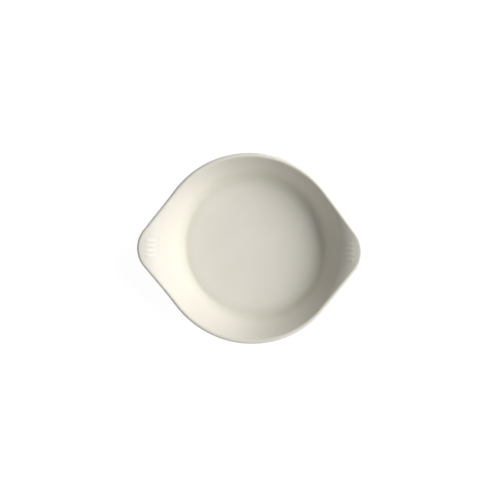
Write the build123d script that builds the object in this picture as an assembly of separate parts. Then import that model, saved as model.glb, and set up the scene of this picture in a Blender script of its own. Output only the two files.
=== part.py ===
"""Round china dish with two pointed, upswept ears: one fired body under its glaze.

Frame: millimetres, +Z up. The origin is the centre of the foot's resting plane, and +X runs
out through an ear. The dish is a turned section, trimmed to a lemon-shaped plan and rounded
along the lip. The glaze is a skin of even thickness over the body. It is wiped off the foot,
so it lies in two patches: one over the inside, the lip and the outside, and one within the
foot ring.
"""

import os
from math import acos, asin, cos, degrees, radians, sin, tan

from build123d import *
from build123d.topology import SkipClean

# Plan: a round rim, drawn out to a rounded point at each ear.
RIM_RADIUS = 70.0
EAR_LENGTH = 12.5
EAR_TIP_RADIUS = 22.0

# Bowl: a flat floor and a straight flared wall, up to the crease where the lip begins.
BOWL_DEPTH = 21.5
WALL_ANGLE = 57.5
WALL_THICKNESS = 4.2
FLOOR_THICKNESS = 5.0
FLOOR_CORNER_RADIUS = 5.5

# Lip and ears: beyond the crease the surface flares, from a steep to a nearly flat slope.
LIP_WIDTH = 3.4
LIP_TOP_RADIUS = 1.8
LIP_UNDER_RADIUS = 1.2
FLARE_START_ANGLE = 46.0
FLARE_END_ANGLE = 8.0
FLARE_THICKNESS = 4.2
CREASE_RADIUS = 3.0
NECK_RADIUS = 4.0

# Foot ring, and the heel where the outer wall turns under to the base.
FOOT_HEIGHT = 2.0
FOOT_WIDTH = 3.6
FOOT_INSET = 4.6
FOOT_TREAD_CHAMFER = 0.5
HEEL_RADIUS = 6.5

# Low grip ribs, which fan out over the upper face of each ear.
RIB_COUNT = 4
RIB_FAN_ANGLE = 2.9
RIB_RADIUS = 2.0
RIB_HEIGHT = 0.3
RIB_CREASE_GAP = 2.4
RIB_TIP_GAP = 5.6

# Glaze, and the height above the table to which it was wiped off the foot.
GLAZE_THICKNESS = 0.25
GLAZE_LINE_HEIGHT = 0.7

NEAR_ZERO = 1e-6

# Sizes that follow from the ones above.
ear_reach = RIM_RADIUS + EAR_LENGTH
crease_r = RIM_RADIUS - LIP_WIDTH
floor_z = FOOT_HEIGHT + FLOOR_THICKNESS
crease_z = floor_z + BOWL_DEPTH
floor_r = crease_r - BOWL_DEPTH / tan(radians(WALL_ANGLE))
foot_outer_r = floor_r - FOOT_INSET
foot_inner_r = foot_outer_r - FOOT_WIDTH

# The flare's upper and under faces are arcs about one centre, and run on a little past the tip.
flare_rise = sin(radians(FLARE_START_ANGLE)) - sin(radians(FLARE_END_ANGLE))
flare_radius = (ear_reach - crease_r) / flare_rise
flare_centre_r = crease_r + flare_radius * sin(radians(FLARE_START_ANGLE))
flare_centre_z = crease_z - flare_radius * cos(radians(FLARE_START_ANGLE))
flare_stop_angle = FLARE_END_ANGLE / 2
wall_to_centre = flare_radius * cos(radians(WALL_ANGLE - FLARE_START_ANGLE))


def on_flare(radius, slope):
    """Point (r, z) at `radius` from the flare's centre, where an arc about it has `slope`."""
    return (
        flare_centre_r - radius * sin(radians(slope)),
        flare_centre_z + radius * cos(radians(slope)),
    )


def flare_arc(radius, start, end):
    """Arc about the flare's centre, from one slope to another."""
    middle = (start + end) / 2
    return ThreePointArc(*(on_flare(radius, slope) for slope in (start, middle, end)))


def crossing_slope(radius, wall_distance):
    """Slope of an arc about the flare's centre where a face of the wall crosses it."""
    return WALL_ANGLE - degrees(acos(wall_distance / radius))


def down_wall(top, z):
    """Point (r, z) at height z on the wall's face below the point `top`."""
    r, top_z = top
    return (r - (top_z - z) / tan(radians(WALL_ANGLE)), z)


def half_section(skin):
    """Right half of the dish's section, with every glazed face in by `skin`."""
    upper_radius = flare_radius - skin
    under_radius = flare_radius - FLARE_THICKNESS + skin
    crease_slope = crossing_slope(upper_radius, wall_to_centre - skin)
    neck_slope = crossing_slope(under_radius, wall_to_centre - WALL_THICKNESS + skin)
    upper = flare_arc(upper_radius, crease_slope, flare_stop_angle)
    under = flare_arc(under_radius, flare_stop_angle, neck_slope)

    crease = on_flare(upper_radius, crease_slope)
    neck = on_flare(under_radius, neck_slope)
    floor_corner = down_wall(crease, floor_z - skin)
    heel = down_wall(neck, FOOT_HEIGHT + skin)
    tread_outer = (foot_outer_r - skin, 0)
    tread_inner = (foot_inner_r + skin, 0)
    base_to_floor = Polyline(
        neck,
        heel,
        (foot_outer_r - skin, FOOT_HEIGHT + skin),
        tread_outer,
        tread_inner,
        (foot_inner_r + skin, FOOT_HEIGHT + skin),
        (0, FOOT_HEIGHT + skin),
        (0, floor_z - skin),
        floor_corner,
        crease,
    )
    section = make_face([upper, Line(upper @ 1, under @ 0), under, base_to_floor])

    def corner(point):
        return section.vertices().sort_by_distance((*point, 0))[0]

    section = fillet(corner(floor_corner), FLOOR_CORNER_RADIUS + skin)
    section = fillet(corner(crease), CREASE_RADIUS - skin)
    section = fillet(corner(neck), NECK_RADIUS + skin)
    section = fillet(corner(heel), HEEL_RADIUS - skin)
    section = chamfer(corner(tread_outer), FOOT_TREAD_CHAMFER)
    section = chamfer(corner(tread_inner), FOOT_TREAD_CHAMFER)
    return Plane.XZ * section


def plan(skin):
    """Lemon-shaped plan: the hull of the round rim and of the two ear tips, in by `skin`."""
    tip_centre = ear_reach - EAR_TIP_RADIUS
    tip = Circle(EAR_TIP_RADIUS - skin)
    rounds = [Circle(RIM_RADIUS - skin), Pos(tip_centre, 0) * tip, Pos(-tip_centre, 0) * tip]
    return make_hull([edge for round_ in rounds for edge in round_.edges()])


def lip_edges(quarter):
    """Upper and under edges of the upright band that the trim to the plan leaves."""
    upper = ShapeList()
    under = ShapeList()
    for face in quarter.faces():
        middle = face.center()
        normal = face.normal_at(middle)
        outward = normal.X * middle.X + normal.Y * middle.Y > NEAR_ZERO
        if abs(normal.Z) < NEAR_ZERO and outward and middle.Z > floor_z:
            along = face.edges().filter_by(Axis.Z, reverse=True).sort_by(Axis.Z)
            under.append(along[0])
            upper.append(along[-1])
    return upper, under


def trimmed_dish(skin):
    """The turned dish, trimmed to its plan and rounded along the lip, made from one quarter."""
    above_all = crease_z + ear_reach
    turned = revolve(half_section(skin), Axis.Z, revolution_arc=90)
    quarter = turned & extrude(plan(skin), above_all)
    quarter = fillet(lip_edges(quarter)[1], LIP_UNDER_RADIUS - skin)
    quarter = fillet(lip_edges(quarter)[0], LIP_TOP_RADIUS - skin)
    half = quarter + mirror(quarter, Plane.XZ)
    return half + mirror(half, Plane.YZ)


def grip_rib(skin):
    """One rib over the ear at +X: a round bar, sunk along the flare."""
    sunk_radius = flare_radius + RIB_HEIGHT - RIB_RADIUS
    start_r = crease_r + RIB_CREASE_GAP
    end_r = ear_reach - RIB_TIP_GAP
    slopes = [degrees(asin((flare_centre_r - r) / sunk_radius)) for r in (start_r, end_r)]
    path = Plane.XZ * flare_arc(sunk_radius, *slopes)
    return sweep(Plane(path @ 0, z_dir=path % 0) * Circle(RIB_RADIUS - skin), path=path)


def whole_dish(skin):
    """The dish with its ribs, and with every glazed face in by `skin`."""
    dish = trimmed_dish(skin)
    rib = grip_rib(skin)
    for ear_angle in (0, 180):
        for i in range(RIB_COUNT):
            fan_angle = (i - (RIB_COUNT - 1) / 2) * RIB_FAN_ANGLE
            dish += Rot(0, 0, ear_angle + fan_angle) * rib
    return dish


def glaze_patches(body):
    """The glaze over the outside, lip and bowl, and the glaze within the foot ring."""
    wiped = extrude(Circle(ear_reach), GLAZE_LINE_HEIGHT)
    glaze = whole_dish(0) - body - wiped
    within_foot, over_dish = glaze.solids().sort_by(SortBy.VOLUME)
    return over_dish, within_foot


def main():
    os.makedirs("parts", exist_ok=True)
    # The quarters' seams stay, because the flared face wraps badly when it is merged to a ring.
    with SkipClean():
        china_body = whole_dish(GLAZE_THICKNESS)
        glaze_coat, base_glaze = glaze_patches(china_body)
    export_step(china_body, "parts/china_body.step")
    export_step(glaze_coat, "parts/glaze_coat.step")
    export_step(base_glaze, "parts/base_glaze.step")


main()
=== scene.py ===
"""Dresses the round china dish with two pointed ears: its fired body and its ivory glaze.

The dish's surface follows one rule, so a Geometry Nodes tree makes it. A section line is swept
round the outline of the lip. Its points either turn about the axis, or run out over the flared
face to the lip, or roll round the lip as a ball would that touches the face and the trimmed side.
"""

from math import acos, ceil, cos, hypot, pi, radians, sin, tan
from typing import NamedTuple

import bpy
from mathutils import Matrix, Vector


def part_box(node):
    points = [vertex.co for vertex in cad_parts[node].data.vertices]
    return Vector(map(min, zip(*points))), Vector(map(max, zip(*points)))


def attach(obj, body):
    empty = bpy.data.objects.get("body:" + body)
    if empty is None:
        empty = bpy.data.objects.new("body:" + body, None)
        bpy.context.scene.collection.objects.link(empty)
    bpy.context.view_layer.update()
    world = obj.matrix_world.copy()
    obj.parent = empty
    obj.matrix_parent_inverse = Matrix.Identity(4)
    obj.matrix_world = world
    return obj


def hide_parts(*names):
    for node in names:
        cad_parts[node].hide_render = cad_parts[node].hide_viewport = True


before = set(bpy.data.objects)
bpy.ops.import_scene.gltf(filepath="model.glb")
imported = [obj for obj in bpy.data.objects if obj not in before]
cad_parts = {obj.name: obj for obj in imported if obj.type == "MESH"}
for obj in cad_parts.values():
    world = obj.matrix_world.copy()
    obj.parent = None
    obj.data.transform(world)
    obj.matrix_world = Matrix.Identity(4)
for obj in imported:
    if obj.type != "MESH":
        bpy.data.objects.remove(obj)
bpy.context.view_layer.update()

bl_info = {
    "name": "Eared dish in glazed china",
    "version": (1, 0, 0),
    "blender": (4, 5, 0),
    "location": "3D View > Sidebar > Dish",
    "description": "Makes the fired body, the glaze and the studio of a round dish with two ears",
    "category": "Object",
}

MM = 0.001
COAT_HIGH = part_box("glaze_coat")[1]


# Property groups


def length(name, description, default):
    """A length in metres, shown in the scene's unit."""
    return bpy.props.FloatProperty(
        name=name, description=description, default=default, subtype="DISTANCE", unit="LENGTH"
    )


def angle(name, description, default):
    """An angle, shown in degrees."""
    return bpy.props.FloatProperty(
        name=name,
        description=description,
        default=radians(default),
        subtype="ANGLE",
        unit="ROTATION",
    )


def colour(name, description, default):
    """A colour, given as an sRGB hex value."""
    return bpy.props.FloatVectorProperty(
        name=name,
        description=description,
        default=linear(default),
        subtype="COLOR",
        size=4,
        min=0,
        max=1,
    )


def watts(name, description, default):
    """A lamp's power in watts."""
    return bpy.props.FloatProperty(
        name=name, description=description, default=default, min=0, unit="POWER"
    )


def linear(hex_value):
    """Linear RGBA for an sRGB colour such as "EDE9DC"."""
    channels = [int(hex_value[i : i + 2], 16) / 255 for i in (0, 2, 4)]
    return (*(c / 12.92 if c <= 0.04045 else ((c + 0.055) / 1.055) ** 2.4 for c in channels), 1.0)


class DishSizes(bpy.types.PropertyGroup):
    """Sizes of the dish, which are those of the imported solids."""

    rim_radius: length("Rim radius", "Outer radius of the round rim", COAT_HIGH.y)
    ear_reach: length("Ear reach", "From the axis to the tip of an ear", COAT_HIGH.x)
    tip_radius: length("Ear tip radius", "Rounding of an ear's tip, seen from above", 22 * MM)
    depth: length("Bowl depth", "From the crease under the lip to the floor", 21.5 * MM)
    wall_angle: angle("Wall angle", "Slope of the bowl's wall", 57.5)
    wall: length("Wall thickness", "Thickness of the bowl's wall, glaze included", 4.2 * MM)
    floor: length("Floor thickness", "Thickness of the floor, glaze included", 5 * MM)
    floor_corner: length("Floor corner", "Rounding where the floor meets the wall", 5.5 * MM)
    lip_width: length("Lip width", "From the crease to the edge of the rim", 3.4 * MM)
    lip_top: length("Lip top radius", "Rounding of the lip's upper edge", 1.8 * MM)
    lip_under: length("Lip under radius", "Rounding of the lip's lower edge", 1.2 * MM)
    flare_start: angle("Flare start", "Slope of the flared face at the crease", 46)
    flare_end: angle("Flare end", "Slope of the flared face at the tip of an ear", 8)
    flare: length("Flare thickness", "Thickness of the ears and the lip", 4.2 * MM)
    crease: length("Crease rounding", "Rounding where the wall meets the flare", 3 * MM)
    neck: length("Neck rounding", "Rounding under the flare, where it meets the wall", 4 * MM)
    foot_height: length("Foot height", "Height of the foot ring below the base", 2 * MM)
    foot_width: length("Foot width", "Width of the foot ring, glaze included", 3.6 * MM)
    foot_inset: length("Foot inset", "From the foot ring to the edge of the floor", 4.6 * MM)
    tread_edge: length("Tread edge", "Rounding of the foot's tread", 0.5 * MM)
    heel: length("Heel rounding", "Rounding where the wall turns under to the base", 6.5 * MM)
    glaze: length("Glaze thickness", "Thickness of the glaze", 0.25 * MM)
    glaze_line: length("Glaze line", "Height to which the glaze was wiped off the foot", 0.7 * MM)


class RibSizes(bpy.types.PropertyGroup):
    """Sizes of the grip ribs on the ears."""

    count: bpy.props.IntProperty(
        name="Ribs", description="Number of ribs on each ear", default=4, min=1
    )
    fan: angle("Fan angle", "Angle from one rib to the next, about the dish's axis", 2.9)
    half_width: length("Half width", "Half of the width of a rib under its glaze", 1.5 * MM)
    height: length("Height", "Height of a rib above the ear", 0.3 * MM)
    start: length("Start", "From the crease to the start of the ribs", 2.4 * MM)
    stop: length("Stop", "From the end of the ribs to the tip of the ear", 5.6 * MM)
    fade: length("Fade", "Length over which a rib's end sinks into the ear", 2.2 * MM)


class Finishes(bpy.types.PropertyGroup):
    """Colours and gloss of the glaze and of the bare body."""

    glaze: colour("Glaze", "Ivory opaque glaze over white china", "E9E5DA")
    # Pooled glaze darkens the floor's corner and the foot: glaze lying thick, and painted shade.
    glaze_pool_and_painted_shade: colour("Pooled glaze and painted shade", "Glaze where it ran together and lies thick", "DEDBCD")
    # Thin glaze lightens the lip and the ribs: glaze drawn thin, and painted light.
    glaze_thin_and_painted_light: colour("Thin glaze and painted light", "Glaze where it drew thin over an edge", "F6F2E8")
    gloss: bpy.props.FloatProperty(
        name="Roughness",
        description="Roughness of the glaze",
        default=0.45,
        min=0,
        max=1,
        subtype="FACTOR",
    )
    bisque: colour("Bare body", "Fired china where the glaze was wiped off", "E2DDD0")
    bisque_dark: colour(
        "Bare body, soiled", "Fired china where the tread has been rubbed", "CFC8B8"
    )


class StudioSettings(bpy.types.PropertyGroup):
    """Camera and lights of the studio."""

    view_tilt: angle("View tilt", "Angle between the view and the vertical", 9.98)
    view_azimuth: angle("View azimuth", "Direction in which the camera leans", 36.8)
    view_roll: angle("View roll", "Turn of the picture", 0.08)
    view_distance: length("View distance", "From the camera to the rim's plane", 0.9)
    view_width: length("View width", "Width of the picture at the rim's plane", 0.3642)
    view_shift: bpy.props.FloatVectorProperty(
        name="View shift",
        description="How far the picture's centre lies from the dish's axis, to the right and up",
        default=(0.18 * MM, -0.62 * MM),
        size=2,
        subtype="TRANSLATION",
        unit="LENGTH",
    )
    key_azimuth: angle("Key azimuth", "Direction of the key light", 18)
    key_elevation: angle("Key elevation", "Height of the key light", 35.5)
    key_power: watts("Key power", "Power of the key light", 20.3)
    fill_azimuth: angle("Fill azimuth", "Direction of the fill light", 262)
    fill_elevation: angle("Fill elevation", "Height of the fill light", 40)
    fill_power: watts("Fill power", "Power of the fill light", 2.2)
    ambient: bpy.props.FloatProperty(
        name="Ambient", description="Strength of the light from all round", default=0.08, min=0
    )


# Sections

# A station is one point of the section's line. Its kind says how it follows the outline, and it
# lies on the upper or on the under side. Its flow sets the glaze's colour there: 1 where it pooled
# in a corner and is painted darker, which is partly painted shade; 0 where it is even; and -1
# where it drew thin and is painted paler, which is partly painted light.
TURNED, RUN, ROLL = 0, 1, 2
UPPER, UNDER = 0, 1
STATION = ("kind", "turned_radius", "turned_height", "along", "under", "depth", "flow")


class Steps(NamedTuple):
    """How finely a line is divided."""

    arc: int  # steps over each rounding
    straight: float  # longest step along a straight stretch
    run: int = 0  # steps out over the flare
    roll: int = 0  # steps round each edge of the lip


GLAZE_OUTER_STEPS = Steps(arc=10, straight=3 * MM, run=20, roll=12)
GLAZE_INNER_STEPS = Steps(arc=6, straight=6 * MM, run=12, roll=6)
BODY_STEPS = Steps(arc=6, straight=4 * MM, run=12, roll=8)
TREAD_STEPS = Steps(arc=5, straight=5 * MM)
BASE_LOWER_STEPS = Steps(arc=8, straight=3 * MM)
BASE_UPPER_STEPS = Steps(arc=4, straight=8 * MM)

ROOT_ROUNDING = 0.4 * MM  # where the foot ring meets the base
OUTSIDE_START = 0.3  # share of the depth by which the outer wall's line starts below the crease
CORNER_POOL_SHADE_REACH = 1.6  # how far the glaze pools, with painted shade, at the floor's corner, in its roundings
FOOT_POOL_SHADE_REACH = 2 * MM  # how far it pools, with painted shade, where the foot ring meets the base
WIPED_EDGE_TURNS = (20, 40, 65)  # degrees round the glaze's wiped edge
WIPED_EDGE_FLOW = 0.5


def rounded_line(corners, arc_steps):
    """Points (r, z) along a line. Each corner is (r, z, radius), and has an arc of that radius."""
    points = [corners[0][:2]]
    for before, (r, z, radius), after in zip(corners, corners[1:], corners[2:]):
        here = Vector((r, z))
        back = (Vector(before[:2]) - here).normalized()
        ahead = (Vector(after[:2]) - here).normalized()
        half_angle = back.angle(ahead) / 2
        centre = here + (back + ahead).normalized() * radius / sin(half_angle)
        start = here + back * radius / tan(half_angle) - centre
        stop = here + ahead * radius / tan(half_angle) - centre
        turn = start.angle(stop)
        for step in range(arc_steps + 1):
            part = step / arc_steps
            spoke = (start * sin((1 - part) * turn) + stop * sin(part * turn)) / sin(turn)
            points.append(tuple(centre + spoke))
    return [*points, corners[-1][:2]]


def divided(points, longest):
    """The same line of points, with its long stretches divided evenly."""
    result = [points[0]]
    for (r0, z0), (r1, z1) in zip(points, points[1:]):
        pieces = max(1, ceil(hypot(r1 - r0, z1 - z0) / longest))
        result += [
            (r0 + (r1 - r0) * i / pieces, z0 + (z1 - z0) * i / pieces)
            for i in range(1, pieces + 1)
        ]
    return result


def pooling_and_shade(r, z, corner_r, corner_z, reach):
    """How thick the glaze pooled at (r, z) in a corner, where shade is painted: 1 in the corner,
    and 0 past its reach.
    """
    return max(0, 1 - hypot(r - corner_r, z - corner_z) / reach)


class Section:
    """The dish's section. Its stations are tuples of the values that STATION names.

    `skin` is how far a line lies under the glaze's surface: 0 for the glaze's outer side.
    """

    def __init__(self, sizes):
        self.sizes = sizes
        self.slope = tan(sizes.wall_angle)
        self.crease_r = sizes.rim_radius - sizes.lip_width
        self.floor_z = sizes.foot_height + sizes.floor
        self.crease_z = self.floor_z + sizes.depth
        self.floor_r = self.crease_r - sizes.depth / self.slope
        self.foot_outer = self.floor_r - sizes.foot_inset
        self.foot_inner = self.foot_outer - sizes.foot_width
        rise = sin(sizes.flare_start) - sin(sizes.flare_end)
        self.flare_radius = (sizes.ear_reach - self.crease_r) / rise
        self.flare_r = self.crease_r + self.flare_radius * sin(sizes.flare_start)
        self.flare_z = self.crease_z - self.flare_radius * cos(sizes.flare_start)
        # A rounding cuts the corner between wall and flare by this share of its radius, measured
        # upright. A smooth minimum cuts it by a sixth of its distance.
        turn = sizes.wall_angle - sizes.flare_start
        cut = (1 / cos(turn / 2) - 1) / cos((sizes.wall_angle + sizes.flare_start) / 2)
        self.blend_per_rounding = 6 * cut

    def wall_r(self, z, down):
        """Radius at height z of the wall's inner face, moved `down` into the wall."""
        return self.crease_r + (z - self.crease_z + down / cos(self.sizes.wall_angle)) / self.slope

    def crease_corners(self, skin):
        """Where the wall meets the flare, both in by `skin`, and a point a little ahead."""
        to_wall = self.flare_radius * cos(self.sizes.wall_angle - self.sizes.flare_start) - skin
        radius = self.flare_radius - skin
        slope = self.sizes.wall_angle - acos(to_wall / radius)
        r = self.flare_r - radius * sin(slope)
        z = self.flare_z + radius * cos(slope)
        return [(r, z, self.sizes.crease - skin), (r + MM * cos(slope), z + MM * sin(slope), 0)]

    def bowl(self, skin, steps):
        """Stations over the floor and up the inner wall, and the radius where the flare starts."""
        floor_z = self.floor_z - skin
        corner_r = self.wall_r(floor_z, skin)
        corner = (corner_r, floor_z, self.sizes.floor_corner + skin)
        line = rounded_line([(0, floor_z, 0), corner, *self.crease_corners(skin)], steps.arc)[:-1]
        reach = CORNER_POOL_SHADE_REACH * self.sizes.floor_corner
        stations = []
        for r, z in divided(line, steps.straight):
            pooled_and_shaded = pooling_and_shade(r, z, corner_r, floor_z, reach)
            stations.append((TURNED, r, z, 0, UPPER, skin, pooled_and_shaded))
        return stations[:-1], stations[-1][1]

    def lip(self, start_r, stop_r, skin, steps):
        """Stations from the crease over the lip, and back under it to the outer wall."""
        under_steps = steps.run // 2
        run = [(RUN, start_r, 0, i / steps.run, UPPER, skin, 0) for i in range(steps.run)]
        # Round the lip the glaze is painted paler towards the edge, as thin glaze and painted
        # light.
        roll = [
            (ROLL, 0, 0, i / steps.roll, UPPER, skin, -i / steps.roll)
            for i in range(steps.roll + 1)
        ]
        roll_back = [
            (ROLL, 0, 0, along, UNDER, skin, flow) for _, _, _, along, _, _, flow in roll[::-1]
        ]
        run_back = [
            (RUN, stop_r, 0, 1 - i / under_steps, UNDER, skin, 0) for i in range(1, under_steps)
        ]
        return run + roll + roll_back + run_back

    def outside(self, skin, foot_end, steps):
        """Stations down the outer wall, round the heel, over the base and down the foot."""
        base_z = self.sizes.foot_height + skin
        top_z = self.crease_z - OUTSIDE_START * self.sizes.depth
        wall = self.sizes.wall - skin
        corners = [
            (self.wall_r(top_z, wall), top_z, 0),
            (self.wall_r(base_z, wall), base_z, self.sizes.heel - skin),
            (self.foot_outer - skin, base_z, ROOT_ROUNDING + skin),
            (self.foot_outer - skin, foot_end, 0),
        ]
        stations = []
        for r, z in divided(rounded_line(corners, steps.arc), steps.straight):
            pooled_and_shaded = pooling_and_shade(r, z, self.foot_outer, base_z, FOOT_POOL_SHADE_REACH)
            stations.append((TURNED, r, z, 0, UNDER, skin, pooled_and_shaded))
        return stations

    def whole_side(self, skin, foot_end, steps):
        """Stations from the floor's centre over the lip and down to `foot_end` on the foot."""
        bowl, start_r = self.bowl(skin, steps)
        outside = self.outside(skin, foot_end, steps)
        return bowl + self.lip(start_r, outside[0][1], skin, steps) + outside

    def wiped_edge(self, side_r, outward):
        """The glaze's rounded edge on the foot, where it was wiped off."""
        skin = self.sizes.glaze
        line_z = self.sizes.glaze_line
        return [
            (side_r - outward * skin * (1 - cos(turn)), line_z + skin * (1 - sin(turn)))
            for turn in map(radians, WIPED_EDGE_TURNS)
        ]

    def glaze_coat(self):
        """The glaze over the bowl, the lip and the outside: outer side, wiped edge, inner side."""
        s = self.sizes
        outer = self.whole_side(0, s.glaze_line + s.glaze, GLAZE_OUTER_STEPS)
        edge = [
            (TURNED, r, z, 0, UNDER, 0, WIPED_EDGE_FLOW)
            for r, z in self.wiped_edge(self.foot_outer, 1)
        ]
        inner = self.whole_side(s.glaze, s.glaze_line, GLAZE_INNER_STEPS)
        return outer + edge + inner[::-1]

    def china_body(self):
        """The fired body within its glaze, from the floor's centre round to the base's centre."""
        s = self.sizes
        side = self.whole_side(s.glaze, s.glaze_line, BODY_STEPS)
        outer_r = self.foot_outer - s.glaze
        inner_r = self.foot_inner + s.glaze
        base_z = s.foot_height + s.glaze
        corners = [
            (outer_r, s.glaze_line, 0),
            (outer_r, 0, s.tread_edge),
            (inner_r, 0, s.tread_edge),
            (inner_r, base_z, ROOT_ROUNDING + s.glaze),
            (0, base_z, 0),
        ]
        tread = divided(rounded_line(corners, TREAD_STEPS.arc), TREAD_STEPS.straight)[1:]
        return side + [(TURNED, r, z, 0, UNDER, s.glaze, 0) for r, z in tread]

    def base_glaze(self):
        """The glaze within the foot ring: lower side, wiped edge, upper side."""
        s = self.sizes
        upper_r = self.foot_inner + s.glaze
        upper_z = s.foot_height + s.glaze
        lower = [
            (0, s.foot_height, 0),
            (self.foot_inner, s.foot_height, ROOT_ROUNDING),
            (self.foot_inner, s.glaze_line + s.glaze, 0),
        ]
        upper = [
            (upper_r, s.glaze_line, 0),
            (upper_r, upper_z, ROOT_ROUNDING + s.glaze),
            (0, upper_z, 0),
        ]
        line = divided(rounded_line(lower, BASE_LOWER_STEPS.arc), BASE_LOWER_STEPS.straight)
        line += self.wiped_edge(self.foot_inner, -1)
        line += divided(rounded_line(upper, BASE_UPPER_STEPS.arc), BASE_UPPER_STEPS.straight)
        stations = []
        for r, z in line:
            pooled_and_shaded = pooling_and_shade(r, z, self.foot_inner, s.foot_height, FOOT_POOL_SHADE_REACH)
            stations.append((TURNED, r, z, 0, UNDER, 0, pooled_and_shaded))
        return stations


# Longest steps along the lip's outline: round the ears' tips, and elsewhere.
FINE_STEP, COARSE_STEP = 0.36 * MM, 1.6 * MM
STEP_TOLERANCE = 0.01  # share of a coarse step by which a step may be longer


def lip_outline(sizes):
    """The lip from above, anticlockwise: points (x, y), each with its outward direction (x, y).

    It is the hull of the round rim and of the ears' tips, with finer steps round the tips.
    """
    tip_x = sizes.ear_reach - sizes.tip_radius
    tangent = acos((sizes.rim_radius - sizes.tip_radius) / tip_x)
    arcs = (
        (tip_x, sizes.tip_radius, -tangent, tangent, FINE_STEP),
        (0, sizes.rim_radius, tangent, pi - tangent, COARSE_STEP),
        (-tip_x, sizes.tip_radius, pi - tangent, pi + tangent, FINE_STEP),
        (0, sizes.rim_radius, pi + tangent, 2 * pi - tangent, COARSE_STEP),
    )
    knots = []
    for centre_x, radius, start, stop, step in arcs:
        steps = ceil(radius * (stop - start) / step)
        for i in range(steps + 1):
            turn = start + (stop - start) * i / steps
            knots.append((centre_x + radius * cos(turn), radius * sin(turn), cos(turn), sin(turn)))
    outline = []
    for here, there in zip(knots, knots[1:] + knots[:1]):
        gap = hypot(there[0] - here[0], there[1] - here[1])
        steps = max(1, ceil(gap / COARSE_STEP - STEP_TOLERANCE))
        outline += [
            tuple(a + (b - a) * i / steps for a, b in zip(here, there)) for i in range(steps)
        ]
    return outline


def line_mesh(name, points, closed):
    """A mesh of one line of edges."""
    last = len(points) - 1
    edges = [(i, i + 1) for i in range(last)] + ([(last, 0)] if closed else [])
    mesh = bpy.data.meshes.new(name)
    mesh.from_pydata(points, edges, [])
    return mesh


def section_mesh(name, stations):
    """A mesh of the section's line, with its stations' values as attributes."""
    points = [(radius, 0, height) for _, radius, height, *_ in stations]
    mesh = line_mesh(name, points, closed=False)
    for i, value in enumerate(STATION):
        kind = "INT" if value == "kind" else "FLOAT"
        attribute = mesh.attributes.new(value, kind, "POINT")
        attribute.data.foreach_set("value", [station[i] for station in stations])
    return mesh


def outline_object(sizes):
    """An object of the lip's outline, with its outward directions as an attribute."""
    outline = lip_outline(sizes)
    mesh = line_mesh("lip_outline", [(x, y, 0) for x, y, _, _ in outline], closed=True)
    outward = [value for _, _, x, y in outline for value in (x, y, 0)]
    attribute = mesh.attributes.new("outward", "FLOAT_VECTOR", "POINT")
    attribute.data.foreach_set("vector", outward)
    return bpy.data.objects.new("lip_outline", mesh)


# Node trees


def first_output(node):
    """A node's first output in use."""
    return next(output for output in node.outputs if output.enabled)


def add_node(tree, kind, inputs=(), **settings):
    """Add a node, set its properties, and feed its inputs, by order or by name.

    An input is fed by a value, by a node's first output or by an output. None leaves it alone.
    """
    node = tree.nodes.new(kind)
    for name, value in settings.items():
        setattr(node, name, value)
    for key, source in inputs.items() if isinstance(inputs, dict) else enumerate(inputs):
        if isinstance(source, bpy.types.Node):
            source = first_output(source)
        if isinstance(source, bpy.types.NodeSocket):
            tree.links.new(source, node.inputs[key])
        elif source is not None:
            node.inputs[key].default_value = source
    return node


FACE_SIZES = (
    "Crease radius",
    "Crease height",
    "Wall angle",
    "Wall thickness",
    "Flare centre radius",
    "Flare centre height",
    "Flare radius",
    "Flare thickness",
    "Crease rounding",
    "Neck rounding",
    "Blend per rounding",
)
LIP_SIZES = ("Lip top radius", "Lip under radius")
RIB_SIZES = (
    "Rib count",
    "Rib fan angle",
    "Rib half width",
    "Rib height",
    "Rib start",
    "Rib stop",
    "Rib fade",
)


def new_tree(name, inputs, output):
    """A Geometry Nodes tree with its inputs and its output, each given by name and kind."""
    tree = bpy.data.node_groups.new(name, "GeometryNodeTree")
    for socket, kind in inputs:
        tree.interface.new_socket(socket, in_out="INPUT", socket_type="NodeSocket" + kind)
    tree.interface.new_socket(output[0], in_out="OUTPUT", socket_type="NodeSocket" + output[1])
    return tree


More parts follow.
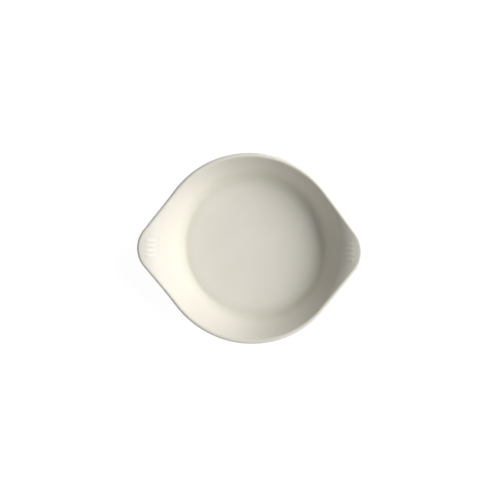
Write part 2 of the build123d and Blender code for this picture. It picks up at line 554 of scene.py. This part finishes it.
def face_height_tree():
    """Height of the dish's face at a radius, moved into the china by a depth.

    The flare's face is an arc in section and the wall's is straight, and the two are blended as
    far as their rounding goes. The under faces are the same two, further down.
    """
    inputs = [(name, "Float") for name in ("Radius", "Depth", "Under", *FACE_SIZES)]
    tree = new_tree("Face height", inputs, ("Height", "Float"))
    given = tree.nodes.new("NodeGroupInput").outputs
    math = "ShaderNodeMath"

    down = []
    for thickness in ("Wall thickness", "Flare thickness"):
        below = add_node(tree, math, [given[thickness], given["Depth"]], operation="SUBTRACT")
        choice = [given["Under"], None, given["Depth"], below]
        down.append(add_node(tree, "ShaderNodeMix", choice, data_type="FLOAT"))
    wall_down, flare_down = down

    slope = add_node(tree, math, [given["Wall angle"]], operation="TANGENT")
    lean = add_node(tree, math, [given["Wall angle"]], operation="COSINE")
    from_crease = add_node(
        tree, math, [given["Radius"], given["Crease radius"]], operation="SUBTRACT"
    )
    straight = add_node(
        tree, math, [from_crease, slope, given["Crease height"]], operation="MULTIPLY_ADD"
    )
    drop = add_node(tree, math, [wall_down, lean], operation="DIVIDE")
    wall_z = add_node(tree, math, [straight, drop], operation="SUBTRACT")

    arc_radius = add_node(tree, math, [given["Flare radius"], flare_down], operation="SUBTRACT")
    across = add_node(
        tree, math, [given["Flare centre radius"], given["Radius"]], operation="SUBTRACT"
    )
    arc_squared = add_node(tree, math, [arc_radius, arc_radius], operation="MULTIPLY")
    across_squared = add_node(tree, math, [across, across], operation="MULTIPLY")
    up_squared = add_node(tree, math, [arc_squared, across_squared], operation="SUBTRACT")
    up = add_node(tree, math, [up_squared], operation="SQRT")
    flare_z = add_node(tree, math, [given["Flare centre height"], up], operation="ADD")

    crease = add_node(
        tree, math, [given["Crease rounding"], given["Depth"]], operation="SUBTRACT"
    )
    neck = add_node(tree, math, [given["Neck rounding"], given["Depth"]], operation="ADD")
    choice = [given["Under"], None, crease, neck]
    rounding = add_node(tree, "ShaderNodeMix", choice, data_type="FLOAT")
    blend = add_node(tree, math, [rounding, given["Blend per rounding"]], operation="MULTIPLY")
    height = add_node(tree, math, [wall_z, flare_z, blend], operation="SMOOTH_MIN")
    add_node(tree, "NodeGroupOutput", [height])
    return tree


def rib_field(tree, given, flat, radius):
    """Height of the grip ribs at a point of the ear, from 0 to 1."""
    math = "ShaderNodeMath"
    xyz = add_node(tree, "ShaderNodeSeparateXYZ", [flat]).outputs
    off_axis = add_node(tree, math, [xyz["X"]], operation="ABSOLUTE")
    bearing = add_node(tree, math, [xyz["Y"], off_axis], operation="ARCTAN2")
    last_rib = add_node(tree, math, [given["Rib count"], 1], operation="SUBTRACT")
    middle = add_node(tree, math, [last_rib, 0.5], operation="MULTIPLY")
    turns = add_node(tree, math, [bearing, given["Rib fan angle"]], operation="DIVIDE")
    place = add_node(tree, math, [turns, middle], operation="ADD")
    whole = add_node(tree, math, [place], operation="ROUND")
    nearest = add_node(tree, "ShaderNodeClamp", [whole, 0, last_rib])
    off_rib = add_node(tree, math, [place, nearest], operation="SUBTRACT")
    off_angle = add_node(tree, math, [off_rib, given["Rib fan angle"]], operation="MULTIPLY")
    off_length = add_node(tree, math, [off_angle, radius], operation="MULTIPLY")
    distance = add_node(tree, math, [off_length], operation="ABSOLUTE")
    start_full = add_node(tree, math, [given["Rib start"], given["Rib fade"]], operation="ADD")
    stop_full = add_node(tree, math, [given["Rib stop"], given["Rib fade"]], operation="SUBTRACT")
    crown, fade_in, fade_out = (
        add_node(
            tree,
            "ShaderNodeMapRange",
            {"Value": value, "From Min": low, "From Max": high, "To Min": first, "To Max": last},
            interpolation_type="SMOOTHSTEP",
        )
        for value, low, high, first, last in (
            (distance, 0, given["Rib half width"], 1, 0),
            (radius, given["Rib start"], start_full, 0, 1),
            (radius, stop_full, given["Rib stop"], 1, 0),
        )
    )
    along = add_node(tree, math, [fade_in, fade_out], operation="MULTIPLY")
    return add_node(tree, math, [crown, along], operation="MULTIPLY")


SLOPE_STEP = 0.05 * MM  # step in radius over which the face's slope is taken
RIB_THINNING_PAINTED_LIGHT = 0.6  # how much paler a rib is painted, as thin glaze and painted light; 1 is as pale as the lip
MERGE_DISTANCE = 0.001 * MM


def dish_tree():
    """The whole rule of the dish: a section line swept round the outline of the lip."""
    inputs = [("Section", "Geometry"), ("Lip outline", "Object"), ("Material", "Material")]
    inputs += [(name, "Float") for name in (*FACE_SIZES, *LIP_SIZES, *RIB_SIZES)]
    tree = new_tree("Dish with drawn-out ears", inputs, ("Dish", "Geometry"))
    given = tree.nodes.new("NodeGroupInput").outputs
    math, vector = "ShaderNodeMath", "ShaderNodeVectorMath"

    # The section's line, swept round the outline. Each point keeps both lines' values.
    outline = add_node(tree, "GeometryNodeObjectInfo", {"Object": given["Lip outline"]})
    path = add_node(tree, "GeometryNodeMeshToCurve", [outline.outputs["Geometry"]])
    here = tree.nodes.new("GeometryNodeInputPosition")
    path = add_node(
        tree,
        "GeometryNodeStoreNamedAttribute",
        {"Geometry": path, "Name": "edge", "Value": here},
        data_type="FLOAT_VECTOR",
        domain="POINT",
    )
    profile = add_node(tree, "GeometryNodeMeshToCurve", [given["Section"]])
    swept = add_node(tree, "GeometryNodeCurveToMesh", {"Curve": path, "Profile Curve": profile})
    edge, outward = (
        add_node(tree, "GeometryNodeInputNamedAttribute", [name], data_type="FLOAT_VECTOR")
        for name in ("edge", "outward")
    )
    kind = add_node(tree, "GeometryNodeInputNamedAttribute", ["kind"], data_type="INT")
    radius, height, along, under, depth, flow = (
        add_node(tree, "GeometryNodeInputNamedAttribute", [name], data_type="FLOAT")
        for name in STATION[1:]
    )

    # The ball that rolls round the lip: its centre, and the face's normal where it touches.
    face = face_height_tree()
    sizes = {name: given[name] for name in FACE_SIZES}
    ball_size = add_node(
        tree,
        "ShaderNodeMix",
        [under, None, given["Lip top radius"], given["Lip under radius"]],
        data_type="FLOAT",
    )
    inward = add_node(tree, vector, {0: outward, "Scale": ball_size}, operation="SCALE")
    ball_flat = add_node(tree, vector, [edge, inward], operation="SUBTRACT")
    ball_r = add_node(tree, vector, [ball_flat], operation="LENGTH")
    ball_bearing = add_node(tree, vector, [ball_flat], operation="NORMALIZE")
    ahead_r = add_node(tree, math, [ball_r, SLOPE_STEP], operation="ADD")
    ball_z, ahead_z = (
        add_node(
            tree,
            "GeometryNodeGroup",
            {"Radius": r, "Depth": ball_size, "Under": under, **sizes},
            node_tree=face,
        )
        for r in (ball_r, ahead_r)
    )
    rise = add_node(tree, math, [ahead_z, ball_z], operation="SUBTRACT")
    slope = add_node(tree, math, [rise, SLOPE_STEP], operation="DIVIDE")
    lifted = add_node(tree, "ShaderNodeCombineXYZ", {"Z": ball_z})
    ball = add_node(tree, vector, [ball_flat, lifted], operation="ADD")
    lean = add_node(tree, vector, {0: ball_bearing, "Scale": slope}, operation="SCALE")
    upright = add_node(tree, vector, [(0, 0, 1), lean], operation="SUBTRACT")
    upper_normal = add_node(tree, vector, [upright], operation="NORMALIZE")
    facing = add_node(tree, math, [under, -2, 1], operation="MULTIPLY_ADD")
    normal = add_node(tree, vector, {0: upper_normal, "Scale": facing}, operation="SCALE")

    # Round the lip: from that normal to the outline's outward direction.
    cosine = add_node(tree, vector, [normal, outward], operation="DOT_PRODUCT")
    turn = add_node(tree, math, [cosine], operation="ARCCOSINE")
    whole_sine = add_node(tree, math, [turn], operation="SINE")
    back = add_node(tree, math, [1, along], operation="SUBTRACT")
    shares = []
    for part, direction in ((back, normal), (along, outward)):
        part_turn = add_node(tree, math, [part, turn], operation="MULTIPLY")
        part_sine = add_node(tree, math, [part_turn], operation="SINE")
        share = add_node(tree, math, [part_sine, whole_sine], operation="DIVIDE")
        shares.append(add_node(tree, vector, {0: direction, "Scale": share}, operation="SCALE"))
    spoke = add_node(tree, vector, shares, operation="ADD")
    roll_radius = add_node(tree, math, [ball_size, depth], operation="SUBTRACT")
    to_roll = add_node(tree, vector, {0: spoke, "Scale": roll_radius}, operation="SCALE")
    roll_point = add_node(tree, vector, [ball, to_roll], operation="ADD")

    # Out over the face: from the section's radius to where the ball touches.
    to_touch = add_node(tree, vector, {0: normal, "Scale": roll_radius}, operation="SCALE")
    touch = add_node(tree, vector, [ball, to_touch], operation="ADD")
    touch_flat = add_node(tree, vector, [touch, (1, 1, 0)], operation="MULTIPLY")
    touch_r = add_node(tree, vector, [touch_flat], operation="LENGTH")
    bearing = add_node(tree, vector, [touch_flat], operation="NORMALIZE")
    run_r = add_node(tree, "ShaderNodeMix", [along, None, radius, touch_r], data_type="FLOAT")
    run_flat = add_node(tree, vector, {0: bearing, "Scale": run_r}, operation="SCALE")
    run_z = add_node(
        tree,
        "GeometryNodeGroup",
        {"Radius": run_r, "Depth": depth, "Under": under, **sizes},
        node_tree=face,
    )
    above = add_node(tree, math, [1, under], operation="SUBTRACT")
    on_run = add_node(
        tree, "FunctionNodeCompare", {2: kind, 3: RUN}, data_type="INT", operation="EQUAL"
    )
    rib_place = add_node(tree, math, [above, on_run], operation="MULTIPLY")
    rib_shape = rib_field(tree, given, run_flat, run_r)
    rib = add_node(tree, math, [rib_shape, rib_place], operation="MULTIPLY")
    ribbed_z = add_node(tree, math, [rib, given["Rib height"], run_z], operation="MULTIPLY_ADD")
    run_lifted = add_node(tree, "ShaderNodeCombineXYZ", {"Z": ribbed_z})
    run_point = add_node(tree, vector, [run_flat, run_lifted], operation="ADD")

    # Turned about the axis.
    turned_flat = add_node(tree, vector, {0: bearing, "Scale": radius}, operation="SCALE")
    turned_lifted = add_node(tree, "ShaderNodeCombineXYZ", {"Z": height})
    turned_point = add_node(tree, vector, [turned_flat, turned_lifted], operation="ADD")

    point = tree.nodes.new("GeometryNodeIndexSwitch")
    point.data_type = "VECTOR"
    point.index_switch_items.new()
    points = (("Index", kind), ("0", turned_point), ("1", run_point), ("2", roll_point))
    for key, source in points:
        tree.links.new(first_output(source), point.inputs[key])
    shaped = add_node(tree, "GeometryNodeSetPosition", {"Geometry": swept, "Position": point})

    # The ribs are painted paler, as the lip is: thin glaze and painted light.
    flow_left = add_node(tree, math, [rib, -RIB_THINNING_PAINTED_LIGHT, flow], operation="MULTIPLY_ADD")
    coloured = add_node(
        tree,
        "GeometryNodeStoreNamedAttribute",
        {"Geometry": shaped, "Name": "glaze_flow", "Value": flow_left},
        data_type="FLOAT",
        domain="POINT",
    )
    merging = {"Geometry": coloured, "Distance": MERGE_DISTANCE}
    closed = add_node(tree, "GeometryNodeMergeByDistance", merging)
    shading = {"Geometry": closed, "Shade Smooth": True}
    smooth = add_node(tree, "GeometryNodeSetShadeSmooth", shading)
    real = add_node(tree, "GeometryNodeRealizeInstances", [smooth])
    finish = {"Geometry": real, "Material": given["Material"]}
    finished = add_node(tree, "GeometryNodeSetMaterial", finish)
    add_node(tree, "NodeGroupOutput", [finished])
    return tree


def size_inputs(scene):
    """The dish tree's named sizes."""
    sizes, ribs = scene.dish_sizes, scene.dish_ribs
    section = Section(sizes)
    return {
        "Crease radius": section.crease_r,
        "Crease height": section.crease_z,
        "Wall angle": sizes.wall_angle,
        "Wall thickness": sizes.wall,
        "Flare centre radius": section.flare_r,
        "Flare centre height": section.flare_z,
        "Flare radius": section.flare_radius,
        "Flare thickness": sizes.flare,
        "Crease rounding": sizes.crease,
        "Neck rounding": sizes.neck,
        "Blend per rounding": section.blend_per_rounding,
        "Lip top radius": sizes.lip_top,
        "Lip under radius": sizes.lip_under,
        "Rib count": ribs.count,
        "Rib fan angle": ribs.fan,
        "Rib half width": ribs.half_width,
        "Rib height": ribs.height,
        "Rib start": section.crease_r + ribs.start,
        "Rib stop": sizes.ear_reach - ribs.stop,
        "Rib fade": ribs.fade,
    }


def swept_piece(context, name, stations, material):
    """One piece of the dish, made by the dish tree from its section's stations."""
    scene = context.scene
    tree = bpy.data.node_groups.get("Dish with drawn-out ears") or dish_tree()
    outline = outline_object(scene.dish_sizes)
    maker = bpy.data.objects.new(name + "_section", section_mesh(name + "_section", stations))
    for helper in (outline, maker):
        scene.collection.objects.link(helper)
    modifier = maker.modifiers.new("Dish", "NODES")
    modifier.node_group = tree
    values = {**size_inputs(scene), "Lip outline": outline, "Material": material}
    for item in tree.interface.items_tree:
        if item.in_out == "INPUT" and item.name in values:
            modifier[item.identifier] = values[item.name]

    evaluated = maker.evaluated_get(context.evaluated_depsgraph_get())
    mesh = bpy.data.meshes.new_from_object(evaluated)
    for helper in (maker, outline):
        bpy.data.objects.remove(helper)
    for spare in ("edge", "outward", *STATION):
        mesh.attributes.remove(mesh.attributes[spare])
    mesh.name = name
    piece = bpy.data.objects.new(name, mesh)
    scene.collection.objects.link(piece)
    if len(mesh.polygons) == 0:
        raise RuntimeError(f"{name} came out empty")
    return piece


# Materials


def new_material(name):
    """A material with its nodes cleared, and its Principled shader joined to the output."""
    material = bpy.data.materials.new(name)
    material.use_nodes = True
    tree = material.node_tree
    tree.nodes.clear()
    shader = tree.nodes.new("ShaderNodeBsdfPrincipled")
    add_node(tree, "ShaderNodeOutputMaterial", {"Surface": shader})
    return material, tree, shader


# The glaze: patches in which it lies a little thicker or thinner, and orange peel.
PATCH_WIDTH = 25 * MM
PATCH_UNEVENNESS = 0.8
PEEL_WIDTH = 3 * MM  # from crest to crest
PEEL_HEIGHT = 0.02 * MM
GLOSS_SPREAD = 0.03  # how much rougher or smoother the patches are


def ivory_glaze(finishes):
    """Ivory opaque glaze, dipped and fired to a satin finish.

    It is painted paler over the lip and the ribs, as thin glaze and painted light, and darker in
    the floor's corner and at the foot, as pooled glaze and painted shade. Fired glaze keeps a
    faint unevenness of a few millimetres.
    """
    material, tree, shader = new_material("Ivory opaque glaze, fired to a satin finish")
    place = tree.nodes.new("ShaderNodeTexCoord").outputs["Object"]
    flow = add_node(tree, "ShaderNodeAttribute", attribute_name="glaze_flow").outputs["Fac"]
    math = "ShaderNodeMath"

    patches = add_node(
        tree,
        "ShaderNodeTexNoise",
        {"Vector": place, "Scale": 1 / PATCH_WIDTH, "Detail": 2, "Roughness": 0.5},
    )
    uneven = add_node(tree, math, [patches, 0.5], operation="SUBTRACT")
    thickness = add_node(tree, math, [uneven, PATCH_UNEVENNESS, flow], operation="MULTIPLY_ADD")
    thin = add_node(tree, math, [thickness, -1], operation="MULTIPLY", use_clamp=True)
    thick = add_node(tree, math, [thickness, 1], operation="MULTIPLY", use_clamp=True)
    # The pooled colour darkens the corners, as pooled glaze and painted shade.
    pooled_and_shaded = add_node(
        tree,
        "ShaderNodeMix",
        {0: thick, 6: tuple(finishes.glaze), 7: tuple(finishes.glaze_pool_and_painted_shade)},
        data_type="RGBA",
    )
    # The thin colour lightens the lip and the ribs, as thin glaze and painted light.
    tinted = add_node(
        tree,
        "ShaderNodeMix",
        {0: thin, 6: pooled_and_shaded.outputs[2], 7: tuple(finishes.glaze_thin_and_painted_light)},
        data_type="RGBA",
    )
    tree.links.new(tinted.outputs[2], shader.inputs["Base Color"])

    # Orange peel, a few thousandths of a millimetre high.
    peel = add_node(
        tree,
        "ShaderNodeTexNoise",
        {"Vector": place, "Scale": 1 / PEEL_WIDTH, "Detail": 1, "Roughness": 0.4},
    )
    bump = add_node(
        tree, "ShaderNodeBump", {"Strength": 0.35, "Distance": PEEL_HEIGHT, "Height": peel}
    )
    tree.links.new(bump.outputs["Normal"], shader.inputs["Normal"])
    low, high = finishes.gloss - GLOSS_SPREAD, finishes.gloss + GLOSS_SPREAD
    gloss = add_node(tree, "ShaderNodeMapRange", {"Value": patches, "To Min": low, "To Max": high})
    tree.links.new(gloss.outputs["Result"], shader.inputs["Roughness"])
    shader.inputs["IOR"].default_value = 1.52
    shader.inputs["Specular IOR Level"].default_value = 0.3
    return material


# The bare body. Its grain is finer than 0.1 mm, and is drawn coarser so that it shows.
SOILING_WIDTH = 6 * MM
GRAIN_WIDTH = 0.3 * MM
GRAIN_HEIGHT = 0.05 * MM


def china_bisque(finishes):
    """Fired china left bare: matt, with a fine grain, and soiled where the tread is rubbed."""
    material, tree, shader = new_material("White china, fired bare")
    place = tree.nodes.new("ShaderNodeTexCoord").outputs["Object"]
    soiling = add_node(
        tree,
        "ShaderNodeTexNoise",
        {"Vector": place, "Scale": 1 / SOILING_WIDTH, "Detail": 4, "Roughness": 0.6},
    )
    soiled = add_node(
        tree,
        "ShaderNodeMapRange",
        {"Value": soiling, "From Min": 0.45, "From Max": 0.7, "To Min": 0, "To Max": 0.8},
    )
    tinted = add_node(
        tree,
        "ShaderNodeMix",
        {0: soiled, 6: tuple(finishes.bisque), 7: tuple(finishes.bisque_dark)},
        data_type="RGBA",
    )
    tree.links.new(tinted.outputs[2], shader.inputs["Base Color"])

    grain = add_node(
        tree,
        "ShaderNodeTexNoise",
        {"Vector": place, "Scale": 1 / GRAIN_WIDTH, "Detail": 2, "Roughness": 0.6},
    )
    bump = add_node(
        tree, "ShaderNodeBump", {"Strength": 0.5, "Distance": GRAIN_HEIGHT, "Height": grain}
    )
    tree.links.new(bump.outputs["Normal"], shader.inputs["Normal"])
    shader.inputs["Roughness"].default_value = 0.85
    shader.inputs["IOR"].default_value = 1.5
    return material


# Operators


class DISH_OT_china_body(bpy.types.Operator):
    """Make the fired body of the dish, which shows on the foot's tread"""

    bl_idname = "dish.china_body"
    bl_label = "China body"

    def execute(self, context):
        scene = context.scene
        stations = Section(scene.dish_sizes).china_body()
        piece = swept_piece(context, "fired_body", stations, china_bisque(scene.dish_finishes))
        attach(piece, "root")
        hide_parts("china_body")
        return {"FINISHED"}


class DISH_OT_glaze(bpy.types.Operator):
    """Make the glaze over the dish, and the glaze within its foot ring"""

    bl_idname = "dish.glaze"
    bl_label = "Glaze"

    def execute(self, context):
        scene = context.scene
        section = Section(scene.dish_sizes)
        material = ivory_glaze(scene.dish_finishes)
        for name, node, stations in (
            ("glaze_over_dish", "glaze_coat", section.glaze_coat()),
            ("glaze_within_foot", "base_glaze", section.base_glaze()),
        ):
            piece = swept_piece(context, name, stations, material)
            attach(piece, "root")
            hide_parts(node)
        return {"FINISHED"}


class DISH_OT_studio(bpy.types.Operator):
    """Set up the white floor, the lights, the surroundings and the camera"""

    bl_idname = "dish.studio"
    bl_label = "Studio"

    def execute(self, context):
        scene = context.scene
        settings = scene.dish_studio
        scene.view_settings.view_transform = "Standard"
        make_floor(scene)
        make_surroundings(scene, settings)
        key_place = direction(settings.key_azimuth, settings.key_elevation)
        make_softbox(scene, "key_softbox", KEY_SIZE, key_place, settings.key_power)
        fill_place = direction(settings.fill_azimuth, settings.fill_elevation)
        make_softbox(scene, "fill_softbox", FILL_SIZE, fill_place, settings.fill_power)
        make_camera(scene, settings)
        return {"FINISHED"}


def seen_directly(tree):
    """1 for rays from the camera, and for those that a mirror or glass sends on; 0 for others."""
    path = tree.nodes.new("ShaderNodeLightPath").outputs
    math = "ShaderNodeMath"
    either = add_node(
        tree, math, [path["Is Camera Ray"], path["Is Glossy Ray"]], operation="MAXIMUM"
    )
    return add_node(tree, math, [either, path["Is Transmission Ray"]], operation="MAXIMUM")


WHITE = (1, 1, 1, 1)
FLOOR_SIZE = 6.0
FLOOR_GLOW = 0.94
FLOOR_PAPER = "E6E6E6"  # what lights the dish from below
FLOOR_SHADING = "7A7A7A"  # what is added to the glow, so that a shadow shows


def make_floor(scene):
    """A white floor. It glows to the camera, so that it is white where no shadow falls."""
    mesh = bpy.data.meshes.new("floor")
    half = FLOOR_SIZE / 2
    corners = [(-half, -half, 0), (half, -half, 0), (half, half, 0), (-half, half, 0)]
    mesh.from_pydata(corners, [], [(0, 1, 2, 3)])
    floor = bpy.data.objects.new("floor", mesh)
    scene.collection.objects.link(floor)
    material = bpy.data.materials.new("Studio floor, matt white")
    material.use_nodes = True
    tree = material.node_tree
    tree.nodes.clear()
    paper = add_node(tree, "ShaderNodeBsdfDiffuse", {"Color": linear(FLOOR_PAPER)})
    shaded = add_node(tree, "ShaderNodeBsdfDiffuse", {"Color": linear(FLOOR_SHADING)})
    glow = add_node(tree, "ShaderNodeEmission", {"Color": WHITE, "Strength": FLOOR_GLOW})
    bright = add_node(tree, "ShaderNodeAddShader", [glow, shaded])
    either = add_node(tree, "ShaderNodeMixShader", [seen_directly(tree), paper, bright])
    add_node(tree, "ShaderNodeOutputMaterial", {"Surface": either})
    mesh.materials.append(material)


def make_surroundings(scene, settings):
    """Even light from all round, which looks white."""
    world = bpy.data.worlds.new("Studio surroundings")
    world.use_nodes = True
    tree = world.node_tree
    tree.nodes.clear()
    strength = add_node(
        tree, "ShaderNodeMix", [seen_directly(tree), None, settings.ambient, 1], data_type="FLOAT"
    )
    background = add_node(tree, "ShaderNodeBackground", {"Color": WHITE, "Strength": strength})
    add_node(tree, "ShaderNodeOutputWorld", {"Surface": background})
    scene.world = world


def direction(azimuth, elevation):
    """Unit vector at an azimuth from +X and an elevation above the floor."""
    return Vector((cos(azimuth) * cos(elevation), sin(azimuth) * cos(elevation), sin(elevation)))


# From the dish's foot to a soft box, and each box's width and height, in metres.
SOFTBOX_DISTANCE = 1.2
KEY_SIZE = (1.7, 0.67)
FILL_SIZE = (0.8, 0.8)


def make_softbox(scene, name, size, towards, power):
    """A soft box, given by its width and height and by the direction in which it stands."""
    lamp = bpy.data.lights.new(name, "AREA")
    lamp.shape = "RECTANGLE"
    lamp.size, lamp.size_y = size
    lamp.energy = power
    light = bpy.data.objects.new(name, lamp)
    place, turn = towards * SOFTBOX_DISTANCE, towards.to_track_quat("Z", "Y")
    light.matrix_world = Matrix.LocRotScale(place, turn, None)
    scene.collection.objects.link(light)


SENSOR_WIDTH_MM = 36


def make_camera(scene, settings):
    """A long lens over the dish, leaning a little back and to the right."""
    data = bpy.data.cameras.new("camera")
    data.sensor_width = SENSOR_WIDTH_MM
    data.lens = SENSOR_WIDTH_MM * settings.view_distance / settings.view_width
    camera = bpy.data.objects.new("camera", data)
    back = direction(settings.view_azimuth, pi / 2 - settings.view_tilt)
    right = Vector((0, 1, 0)).cross(back).normalized()
    up = back.cross(right)
    turned = Matrix.Rotation(settings.view_roll, 3, back)
    axes = Matrix((turned @ right, turned @ up, back)).transposed()
    aim = Vector((0, 0, Section(scene.dish_sizes).crease_z))
    aim += axes @ Vector((*settings.view_shift, 0))
    camera.matrix_world = Matrix.Translation(aim + back * settings.view_distance) @ axes.to_4x4()
    scene.collection.objects.link(camera)
    scene.camera = camera


class DISH_PT_panel(bpy.types.Panel):
    """Lists the dish's operators and sizes"""

    bl_idname = "DISH_PT_panel"
    bl_label = "Eared dish"
    bl_space_type = "VIEW_3D"
    bl_region_type = "UI"
    bl_category = "Dish"

    def draw(self, context):
        layout = self.layout
        for operator in OPERATORS:
            layout.operator(operator.bl_idname)
        for name in GROUPS:
            box = layout.box()
            group = getattr(context.scene, name)
            for prop in group.bl_rna.properties:
                if prop.identifier not in ("rna_type", "name"):
                    box.prop(group, prop.identifier)


GROUPS = {
    "dish_sizes": DishSizes,
    "dish_ribs": RibSizes,
    "dish_finishes": Finishes,
    "dish_studio": StudioSettings,
}
OPERATORS = (DISH_OT_china_body, DISH_OT_glaze, DISH_OT_studio)


def register():
    """Register the dish's property groups, operators and panel."""
    for group in GROUPS.values():
        bpy.utils.register_class(group)
    for operator in OPERATORS:
        bpy.utils.register_class(operator)
    bpy.utils.register_class(DISH_PT_panel)
    for name, group in GROUPS.items():
        setattr(bpy.types.Scene, name, bpy.props.PointerProperty(type=group))


def unregister():
    """Take out what register put in."""
    for name in GROUPS:
        delattr(bpy.types.Scene, name)
    for cls in (DISH_PT_panel, *OPERATORS, *GROUPS.values()):
        bpy.utils.unregister_class(cls)


def main():
    """Make the dish and its studio."""
    register()
    bpy.ops.dish.china_body()
    bpy.ops.dish.glaze()
    bpy.ops.dish.studio()


if __name__ == "__main__":
    main()
